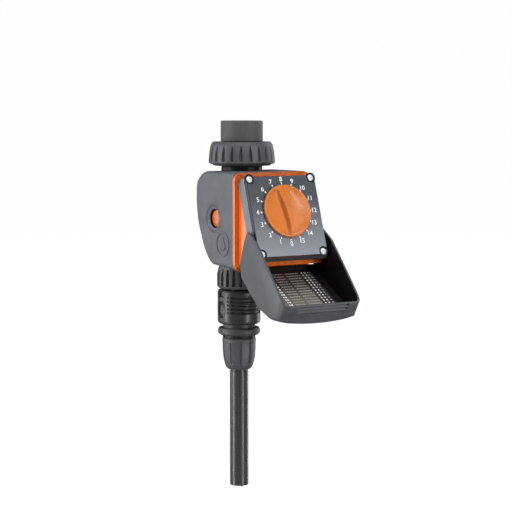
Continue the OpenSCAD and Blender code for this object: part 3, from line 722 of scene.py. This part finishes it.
def side_badges():
    """Generic embossed drop in a ring, on each side of the rear housing."""
    centre_y, centre_z = -28.3, -102
    drop_r, drop_t, steps = 4.0, -1.6, 40
    rim = []
    for k in range(steps):
        a = 2 * math.pi * k / steps
        pull = max(0.0, math.sin(a)) ** 3
        rim.append((drop_r * math.cos(a) * (1 - 0.62 * pull), drop_r * math.sin(a) + 4.2 * pull ** 1.5))
    levels = ((1.0, -0.2), (1.0, 0.5), (0.92, 0.7), (0.78, 0.78))
    band = rounded([(8.9, -0.2), (10.4, -0.2), (10.4, 0.7), (8.9, 0.7)], [0, 0, 0.35, 0.35])
    for side, label in ((-1, "left"), (1, "right")):
        def place(p, side=side):
            return Vector((side * (CASE_HALF + p.z), centre_y + p.x, centre_z + p.y))
        add_to(lathe("badge_ring_" + label, band, TAP, 96, place=place), "housing", "grey_plastic")
        points = [place(Vector((x * s, drop_t + y * s, h))) for s, h in levels for x, y in rim]
        drop = mesh_piece("badge_drop_" + label, points, capped_faces(len(levels), steps))
        add_to(drop, "housing", "grey_plastic")


# ---------------------------------------------------------------- cover
COVER_HALF, COVER_WALL, COVER_LEAN, COVER_CORNER = 37.5, 2.0, 30, 6.6
LIP = (-125.7, -145)


def at_lip(x, back, up):
    """A point of the lip's own frame: back behind its outer face, up from its top edge."""
    lean = math.radians(COVER_LEAN)
    return Vector((x, LIP[0] + back * math.cos(lean) - up * math.sin(lean),
                   LIP[1] + back * math.sin(lean) + up * math.cos(lean)))


def cover_plan(name, half, front, corner):
    """Plan of the cover, square to its lip, its two front corners rounded."""
    loop = rounded([(-half, 150), (-half, front), (half, front), (half, 150)], [0, corner, corner, 0], 10)
    return prism(name, [at_lip(p.x, p.y, -60) for p in loop], at_lip(0, 0, 140) - at_lip(0, 0, -60))


def cover_blank():
    """The cover's outside, solid: a side outline with soft rims, a belly and rounded front corners."""
    top_edge = [LIP, (-119.5, -138.9), (-106.5, -123.2), (-94, -108.9), (-84, -96.3), (-72.5, -89.7)]
    side = rounded([(-69.0, -88.6), (-82.6, -97.4), (-93.2, -109.2), (-105.8, -123.4), (-119.2, -138.8),
                    (-122.2, -143.6), LIP, (-116.4, -161.1), (-109, -159.2), (-98.4, -155.0),
                    (-86.2, -150.3), (-71.8, -139.0), (-58.6, -127.2), (-56.4, -116), (-61.8, -103)],
                   [1.2, 6, 14, 30, 6, 1.5, 0.8, 2.5, 14, 30, 25, 30, 8, 8, 30], 8)

    def edge(y, z):
        below = between(top_edge, y) - z
        return 0.5 + 1.7 * smoothstep(below, 4, 14) * smoothstep(-z, 96, 112)

    shell = filleted_slab("cover_shell", dense(side, 2.0), COVER_HALF, edge)
    belly = 3.2 * MM
    for vertex in shell.data.vertices:
        x, y, z = vertex.co / MM
        bow = (x / COVER_HALF) ** 2 + 0.3 * smoothstep(abs(x), 33, COVER_HALF)
        vertex.co.z += belly * bow * smoothstep(-z, 149, 157) * smoothstep(-y, 100, 116)
    paint(shell, looks["dark_plastic"])
    boolean(shell, cover_plan("plan", COVER_HALF, 0, COVER_CORNER), "INTERSECT")
    return shell


def cover_room(inner):
    """The space inside the cover, 2 x inner wide; its faces carry near-black paint, painted shade for the
    cover's hollow.
    """
    space = rounded([(-40, -40), (-123.6, -40), (-123.6, -143.8), (-116.7, -155.7), (-62.5, -124.4),
                     (-60.2, -119.8), (-40, -119.4)], [0, 0, 0, 3, 4, 0, 0], 6)
    black = looks["cover_inside_shade"]
    room = paint(prism("room", [(-inner, p.x, p.y) for p in space], (2 * inner, 0, 0)), black)
    plan = cover_plan("room_plan", inner, COVER_WALL, COVER_CORNER - COVER_WALL)
    boolean(room, paint(plan, black), "INTERSECT")
    return room


def lip_grip():
    """Cutter for the ridged finger grip across the lip's outer face."""
    ridges, foot, crown, steps = 3, -8.4, 0.6, 37
    narrow, wide, deep, before = 23.0, 24.8, 1.3, -3.0
    waves = [(before, crown), (before, foot)]
    for k in range(steps):
        up = foot + (crown - foot) * k / (steps - 1)
        rise = 0.5 - 0.5 * math.cos(2 * math.pi * ridges * k / (steps - 1))
        waves.append((0.2 + deep * (1 - 0.85 * rise) * smoothstep(up, foot, foot + 0.5), up))
    points = [at_lip(side * (narrow + (wide - narrow) * (up - foot) / (crown - foot)), back, up)
              for side in (-1, 1) for back, up in waves]
    return mesh_piece("grip", points, capped_faces(2, len(waves)))


def cover():
    """Flip-down cover: two arms, a sloping floor and a lip with a ridged grip; near black inside with
    painted shade.
    """
    shell = cover_blank()
    inner = COVER_HALF - COVER_WALL
    boolean(shell, cover_room(inner), "DIFFERENCE")
    hollow = inner - 1.6
    pocket = [(-hollow, y, z) for y, z in ((-101, -151), (-66.5, -131.2), (-66.5, -175), (-101, -175))]
    boolean(shell, prism("pocket", pocket, (2 * hollow, 0, 0)), "DIFFERENCE")
    boolean(shell, lip_grip(), "DIFFERENCE")
    hinge = Vector(JOINTS["cover_hinge"]["pos_m"]) / MM
    arm_in, pin_r, pin_long = 34, 2.02, 2.6
    for side in (-1, 1):
        def place(p, side=side):
            return Vector((side * (arm_in + p.z), hinge.y + p.x, hinge.z + p.y))
        boolean(shell, rod("pin", pin_r, 0, pin_long, steps=48, place=place), "DIFFERENCE")
    shell.name = "flip_cover"
    soft_edges(shell, 0.4)
    stand_for(shell, "cover", keep_paint=True)


# ---------------------------------------------------------------- dial
KNOB_R = 22.2
KNOB_RIM = 3.4


def knob_height(u, t):
    """Height of the knob's top: two scoops beside a ridge that tapers to a pointer at the foot."""
    crest, floor = 5.2, 0.9
    s = max(0.0, min(1.0, (t + KNOB_R) / (2 * KNOB_R)))
    left = 0.55 + 6.8 * s ** 1.75
    right = 0.55 + 5.8 * s ** 1.25
    edge, side = (left, -u) if u < 0 else (right, u)
    reach = math.sqrt(max(0.0, (KNOB_R - 1.3) ** 2 - t * t))
    room = max(0.0, reach - edge)
    deep = smoothstep(room, 0.0, 9.0)
    outward = min(1.0, max(0.0, (side - edge) / max(room, 0.4)))
    scoop = KNOB_RIM - (KNOB_RIM - floor) * deep * (1 - outward ** 1.8)
    away = math.hypot(u, t)
    ridge = crest - (crest - KNOB_RIM) * smoothstep(away, 6, KNOB_R - 1)
    spread = 1.9 if u < 0 else 0.7
    wall = smoothstep(side, edge - 0.7, edge + spread)
    return ridge + (min(scoop, ridge) - ridge) * wall


def selector_knob():
    """Round knob with a finger ridge, a boss round the spindle and a pointer at the ridge's foot."""
    rim_r, middle_r, boss_r, bore_r, boss_foot = KNOB_R, 0.02, 3.95, 2.64, -2.4
    outline = [(middle_r + (rim_r - 1.0) * k / 72, "top") for k in range(73)]
    outline += [(rim_r - 0.45, KNOB_RIM - 0.12), (rim_r - 0.12, KNOB_RIM - 0.45), (rim_r, KNOB_RIM - 1.0),
                (rim_r, 0.9), (rim_r - 0.3, 0.45), (boss_r, 0.45), (boss_r, boss_foot),
                (bore_r, boss_foot), (bore_r, 0.88), (middle_r, 0.88)]
    steps = 288
    points = []
    for r, height in outline:
        for j in range(steps):
            a = 2 * math.pi * j / steps
            u, t = r * math.cos(a), r * math.sin(a)
            n = knob_height(u, t) if height == "top" else height
            points.append(on_dial(u, t, n))
    dial = mesh_piece("selector_dial", points, capped_faces(len(outline), steps), 40)
    # the knob's look is a lit copy of the orange plastic: painted light
    stand_for(dial, "selector_knob", look="knob")
    tip, base = -rim_r - 1.2, -rim_r + 2
    spike = [(-0.75, base, 0.6), (0.75, base, 0.6), (0.35, tip, 0.6), (-0.35, tip, 0.6),
             (-0.55, base, 3.3), (0.55, base, 3.3), (0.2, tip, 2.0), (-0.2, tip, 2.0)]
    pointer = mesh_piece("selector_pointer", [on_dial(*p) for p in spike], capped_faces(2, 4))
    # the pointer takes the knob's lit copy of the orange plastic: painted light
    add_to(pointer, "selector", "orange_plastic", "knob")


def printed(name, bm):
    """The piece made of everything drawn in bm."""
    bmesh.ops.recalc_face_normals(bm, faces=bm.faces)
    mesh = bpy.data.meshes.new(name)
    bm.to_mesh(mesh)
    bm.free()
    return link(bpy.data.objects.new(name, mesh))


def add_numeral(bm, number, u, t):
    """A number centred on a place of the dial plate."""
    curve = bpy.data.curves.new("numeral", "FONT")
    curve.body = str(number)
    curve.size = 5.5 * MM
    curve.extrude = 0.04 * MM
    curve.offset = 0.03 * MM
    curve.align_x, curve.align_y = "CENTER", "CENTER"
    text = link(bpy.data.objects.new("numeral", curve))
    mesh = bpy.data.meshes.new_from_object(text)
    bpy.data.objects.remove(text)
    mesh.transform(Matrix.Translation(on_dial(u, t, 0.05) * MM) @ DIAL.to_4x4())
    bm.from_mesh(mesh)


def add_tick(bm, inward, tick_r):
    """A small triangle that points at the knob."""
    across = Vector((inward.y, -inward.x))
    half, tall = 0.9, 1.0
    mid = -inward * tick_r
    foot = mid - inward * half
    corners = (foot + across * half, foot - across * half, mid + inward * tall)
    low = [bm.verts.new(on_dial(p.x, p.y, 0.01) * MM) for p in corners]
    high = [bm.verts.new(on_dial(p.x, p.y, 0.09) * MM) for p in corners]
    bm.faces.new(high)
    bm.faces.new(low[::-1])
    for i in range(3):
        bm.faces.new((low[i], low[(i + 1) % 3], high[(i + 1) % 3], high[i]))


def dial_print():
    """Numbers 0 to 15 clockwise from the foot, with a tick for each."""
    count, numeral_r, tick_r = 16, 27.4, 23.6
    turns = [2 * math.pi * k / count for k in range(count)]
    bm = bmesh.new()
    for number, a in enumerate(turns):
        add_numeral(bm, number, -math.sin(a) * numeral_r, -math.cos(a) * numeral_r)
    for a in turns:
        add_tick(bm, Vector((math.sin(a), math.cos(a))), tick_r)
    add_to(printed("dial_print", bm), "control_unit", "white_plastic", "ink")


def screw_surrounds():
    """Black rings round the four bright screws of the dial plate."""
    low, high = box_mm("panel_screws")
    head_r, plate_middle, up = 2.75, -3.4, 31.6
    reach = (high.x - low.x) / 2 - head_r
    inner_r, outer_r, foot, top = 3.1, 4.3, -1.2, 0.28
    band = rounded([(inner_r, foot), (outer_r, foot), (outer_r, top), (inner_r, top)], [0, 0, 0.3, 0.2])
    for i, (su, st) in enumerate(((-1, -1), (1, -1), (1, 1), (-1, 1))):
        def place(p, su=su, st=st):
            return on_dial(su * reach + p.x, st * up + plate_middle + p.y, p.z)
        ring = lathe(f"screw_ring_{i}", band, TAP, 64, place=place)
        add_to(ring, "control_unit", "black_plastic", "plate_edge")


def plate_seal():
    """Black strip under the dial plate's foot: the real seal, and painted shade for the frame's underside
    below it.
    """
    low, high = box_mm("face_plate")
    foot = (low.y - DIAL_CENTRE.y) / DIAL_UP.y
    half, below, above, behind, thick = high.x - 2.5, 1.9, 0.6, 1.5, 1.25
    outline = rounded([(-half, foot - below), (half, foot - below), (half, foot + above),
                       (-half, foot + above)], [0.8, 0.8, 0.3, 0.3])
    # part real seal, part painted shade for the frame's underside
    seal = prism("plate_seal", [on_dial(p.x, p.y, -behind) for p in outline], DIAL_OUT * thick)
    add_to(seal, "control_unit", "black_plastic", "plate_edge")


def chart_place():
    """A function that gives a place on the chart label, and the label's length up its slope.

    x runs across, b back from the front edge, lift off the face.
    """
    low, high = box_mm("program_label")
    tilt = math.radians(COVER_LEAN)
    along = Vector((0, math.cos(tilt), math.sin(tilt)))
    out = Vector((0, -math.sin(tilt), math.cos(tilt)))
    front = Vector((0, low.y, low.z)) + out * 0.3 + Vector((0, 0.1, 0))

    def place(x, b, lift):
        return front + Vector((x, 0, 0)) + along * b + out * lift

    return place, (high.y - low.y) / math.cos(tilt)


def chart_rows():
    """Greeked program chart: row marks, two columns of words and three dotted columns."""
    place, length = chart_place()
    prints = {"faded_ink": bmesh.new(), "ink": bmesh.new()}

    def mark(ink, x, b, wide, tall):
        """One printed dash."""
        bm = prints[ink]
        corners = ((x, b), (x + wide, b), (x + wide, b + tall), (x, b + tall))
        ring = [bm.verts.new(place(cx, cb, lift) * MM) for lift in (0.02, 0.07) for cx, cb in corners]
        for face in capped_faces(2, 4):
            bm.faces.new([ring[i] for i in face])

    rows, margin = 13, 0.8
    pitch = (length - 2) / (rows - 0.7)
    for row in range(rows):
        b = margin + row * pitch
        for x in (-26.5, -23.0):
            mark("ink", x, b, 1.2, 1.5)
        mark("ink", -17.4, b, 0.9, 1.7)
        mark("ink", -15.7, b, 1.5, 1.7)
        for start, end in ((-11.5, -1.5), (1.2, 14)):
            at = start
            while at < end:
                dash = random.uniform(0.6, 1.7)
                mark("faded_ink", at, b + 0.3, min(dash, end - at), 0.95)
                at += dash + random.uniform(0.35, 0.6)
        for x in (17.0, 20.4):
            mark("ink", x, b, 1.3, 1.5)
        mark("faded_ink", 23.6, b + 0.3, random.uniform(1.6, 3.2), 0.9)
    for ink, bm in prints.items():
        add_to(printed("chart_" + ink, bm), "cover", "chart_print", ink)


# ---------------------------------------------------------------- CAD nodes that stay
def plate_material():
    """Dial plate: grey on its front only and paler towards its foot with painted light, black down its
    sides and in a thin border along its left and bottom edges."""
    depth, left_border, foot_border, soft = 0.55, 1.2, 1.3, 0.3
    black = EDGE_BLACK + (1,)
    material = looks["plate_face"].copy()
    material.name = "plate"
    tree = material.node_tree
    shader = tree.nodes["Principled BSDF"]
    grey = shader.inputs["Base Color"].links[0].from_socket
    coords = tree.nodes.new("ShaderNodeTexCoord").outputs["Object"]
    dot = tree.nodes.new("ShaderNodeVectorMath")
    dot.operation = "DOT_PRODUCT"
    dot.inputs[1].default_value = DIAL_OUT
    node_link(tree, coords, dot.inputs[0])
    level = DIAL_OUT.dot(DIAL_CENTRE) * MM
    front = ramp(tree, dot.outputs["Value"], level - depth * MM, level - depth * MM * 0.4, 0, 1)
    height = tree.nodes.new("ShaderNodeSeparateXYZ")
    node_link(tree, coords, height.inputs[0])
    low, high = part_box("face_plate")
    # painted light: the plate's front grows paler towards its foot
    painted_light_ramp = ramp(tree, height.outputs["Z"], low.z, low.z + 0.7 * (high.z - low.z), 0.65, 0)
    painted_light_grey = mix_colour(tree, painted_light_ramp, grey, (0.36, 0.38, 0.43, 1))
    left, foot = low.x + left_border * MM, low.z + foot_border * MM
    inside_left = ramp(tree, height.outputs["X"], left, left + soft * MM, 0, 1)
    inside_foot = ramp(tree, height.outputs["Z"], foot, foot + soft * MM, 0, 1)
    bordered = mix_colour(tree, inside_left, black, painted_light_grey)
    framed = mix_colour(tree, inside_foot, black, bordered)
    node_link(tree, mix_colour(tree, front, black, framed), shader.inputs["Base Color"])
    return material


def chart_material():
    """Chart label: dark, with a painted reflection that makes it paler towards the foot of its two columns
    of words.
    """
    material = looks["chart_print"].copy()
    material.name = "chart_face"
    tree = material.node_tree
    shader = tree.nodes["Principled BSDF"]
    dark = shader.inputs["Base Color"].links[0].from_socket
    place = tree.nodes.new("ShaderNodeSeparateXYZ")
    node_link(tree, tree.nodes.new("ShaderNodeTexCoord").outputs["Object"], place.inputs[0])
    low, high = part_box("program_label")
    words_end, soft = 14.2, 0.8
    # painted reflection: a cream patch over the foot of the two word columns
    foot = ramp(tree, place.outputs["Z"], low.z, low.z + 0.65 * (high.z - low.z), 1, 0)
    words = ramp(tree, place.outputs["X"], words_end * MM, (words_end + soft) * MM, 0.75, 0)
    reflection_mask = tree.nodes.new("ShaderNodeMath")
    reflection_mask.operation = "MULTIPLY"
    node_link(tree, foot, reflection_mask.inputs[0])
    node_link(tree, words, reflection_mask.inputs[1])
    pale = mix_colour(tree, reflection_mask.outputs[0], dark, (0.20, 0.18, 0.155, 1))
    node_link(tree, pale, shader.inputs["Base Color"])
    return material


def finish_cad_nodes():
    """Every CAD node that is still shown gets its slot's finish and softened edges."""
    wide = {"front_housing": 0.9, "control_box": 0.6, "face_plate": 0.45, "battery": 0.8}
    for name, node in NODES.items():
        if node.hide_render:
            continue
        paint(node, looks["screw" if name == "panel_screws" else SLOT_OF[name]])
        soften(node, wide.get(name, 0.2), 3 if name in wide else 2)
    paint(NODES["program_label"], chart_material())
    paint(NODES["face_plate"], plate_material())


# ---------------------------------------------------------------- stage
def backdrop():
    """Pale seamless floor that curves up into a wall all round."""
    floor_z = size_of_cad[0].z - 0.001
    floor_r, curve_r, wall_top, steps = 2.6, 1.2, 4.5, 96
    outline = [(0.001, 0), (floor_r, 0)]
    for degrees in range(10, 91, 10):
        a = math.radians(degrees)
        outline.append((floor_r + curve_r * math.sin(a), curve_r * (1 - math.cos(a))))
    outline.append((floor_r + curve_r, wall_top))
    turns = [2 * math.pi * j / steps for j in range(steps)]
    points = [(r * math.cos(a), r * math.sin(a), z + floor_z) for r, z in outline for a in turns]
    mesh = bpy.data.meshes.new("backdrop")
    mesh.from_pydata(points, [], ring_faces(len(outline), steps))
    mesh.shade_smooth()
    obj = link(bpy.data.objects.new("backdrop", mesh))
    material = bpy.data.materials.new("paper")
    material.use_nodes = True
    shader = material.node_tree.nodes["Principled BSDF"]
    shader.inputs["Roughness"].default_value = 0.9
    shader.inputs["Emission Color"].default_value = (1, 1, 1, 1)
    seen = material.node_tree.nodes.new("ShaderNodeLightPath").outputs["Is Camera Ray"]
    glow = ramp(material.node_tree, seen, 0, 1, 0.03, 0.98)
    paper = mix_colour(material.node_tree, seen, (0.42, 0.42, 0.42, 1), (0.02, 0.02, 0.02, 1))
    node_link(material.node_tree, paper, shader.inputs["Base Color"])
    node_link(material.node_tree, glow, shader.inputs["Emission Strength"])
    mesh.materials.append(material)
    obj.visible_glossy = False
    obj.visible_shadow = False


def area_light(name, place, target, size, power):
    """White rectangle of light at a place, turned to face its target."""
    data = bpy.data.lights.new(name, "AREA")
    data.shape = "RECTANGLE"
    data.size, data.size_y = size
    data.energy = power
    obj = link(bpy.data.objects.new(name, data))
    obj.location = place
    obj.rotation_mode = "QUATERNION"
    obj.rotation_quaternion = (Vector(target) - Vector(place)).to_track_quat("-Z", "Y")


def studio():
    """Pale world and six soft boxes, the upright ones for the streaks on the round pieces."""
    world = bpy.data.worlds.new("studio")
    world.use_nodes = True
    world.node_tree.nodes["Background"].inputs["Color"].default_value = (1, 1, 1, 1)
    world.node_tree.nodes["Background"].inputs["Strength"].default_value = 0.15
    bpy.context.scene.world = world
    middle = (0, -0.03, -0.12)
    low_middle = (0, -0.02, -0.2)
    area_light("left_strip", (-1.4, 0.38, -0.2), low_middle, (0.4, 1.7), 19)
    area_light("left_back", (-0.95, 1.2, 0.15), middle, (0.45, 1.4), 6.5)
    area_light("front_strip", (0.42, -1.35, -0.2), low_middle, (0.14, 1.7), 14)
    area_light("front_top", (-0.5, -1.2, 1.1), middle, (0.8, 0.7), 13)
    area_light("top", (0.1, 0.1, 1.4), middle, (0.9, 0.9), 10)
    area_light("right_rim", (1.3, 0.25, 0.0), middle, (0.3, 1.3), 6)
    bpy.context.scene.view_settings.view_transform = "Standard"


def camera():
    """Seen from 32 degrees round to the left and slightly above, from 1.4 m away."""
    azimuth, pitch = math.radians(32), math.radians(5.396)
    distance, aside, height, lens, sensor = 1.391, 0.01215, 0.0155, 114.4, 36
    forward = Vector((math.sin(azimuth), math.cos(azimuth), 0))
    right = Vector((math.cos(azimuth), -math.sin(azimuth), 0))
    data = bpy.data.cameras.new("camera")
    data.lens = lens
    data.sensor_width = sensor
    obj = link(bpy.data.objects.new("camera", data))
    obj.location = -forward * distance + right * aside + Vector((0, 0, height))
    look = forward * math.cos(pitch) - Vector((0, 0, math.sin(pitch)))
    obj.rotation_mode = "QUATERNION"
    obj.rotation_quaternion = look.to_track_quat("-Z", "Y")
    bpy.context.scene.camera = obj


tap_adapter()
inlet_nut()
outlet_adapter()
connector_sleeve()
hose_nut()
supply_hose()
core_rings()
springs()
rear_housing()
side_badges()
cover()
selector_knob()
dial_print()
screw_surrounds()
plate_seal()
chart_rows()
finish_cad_nodes()
backdrop()
studio()
camera()
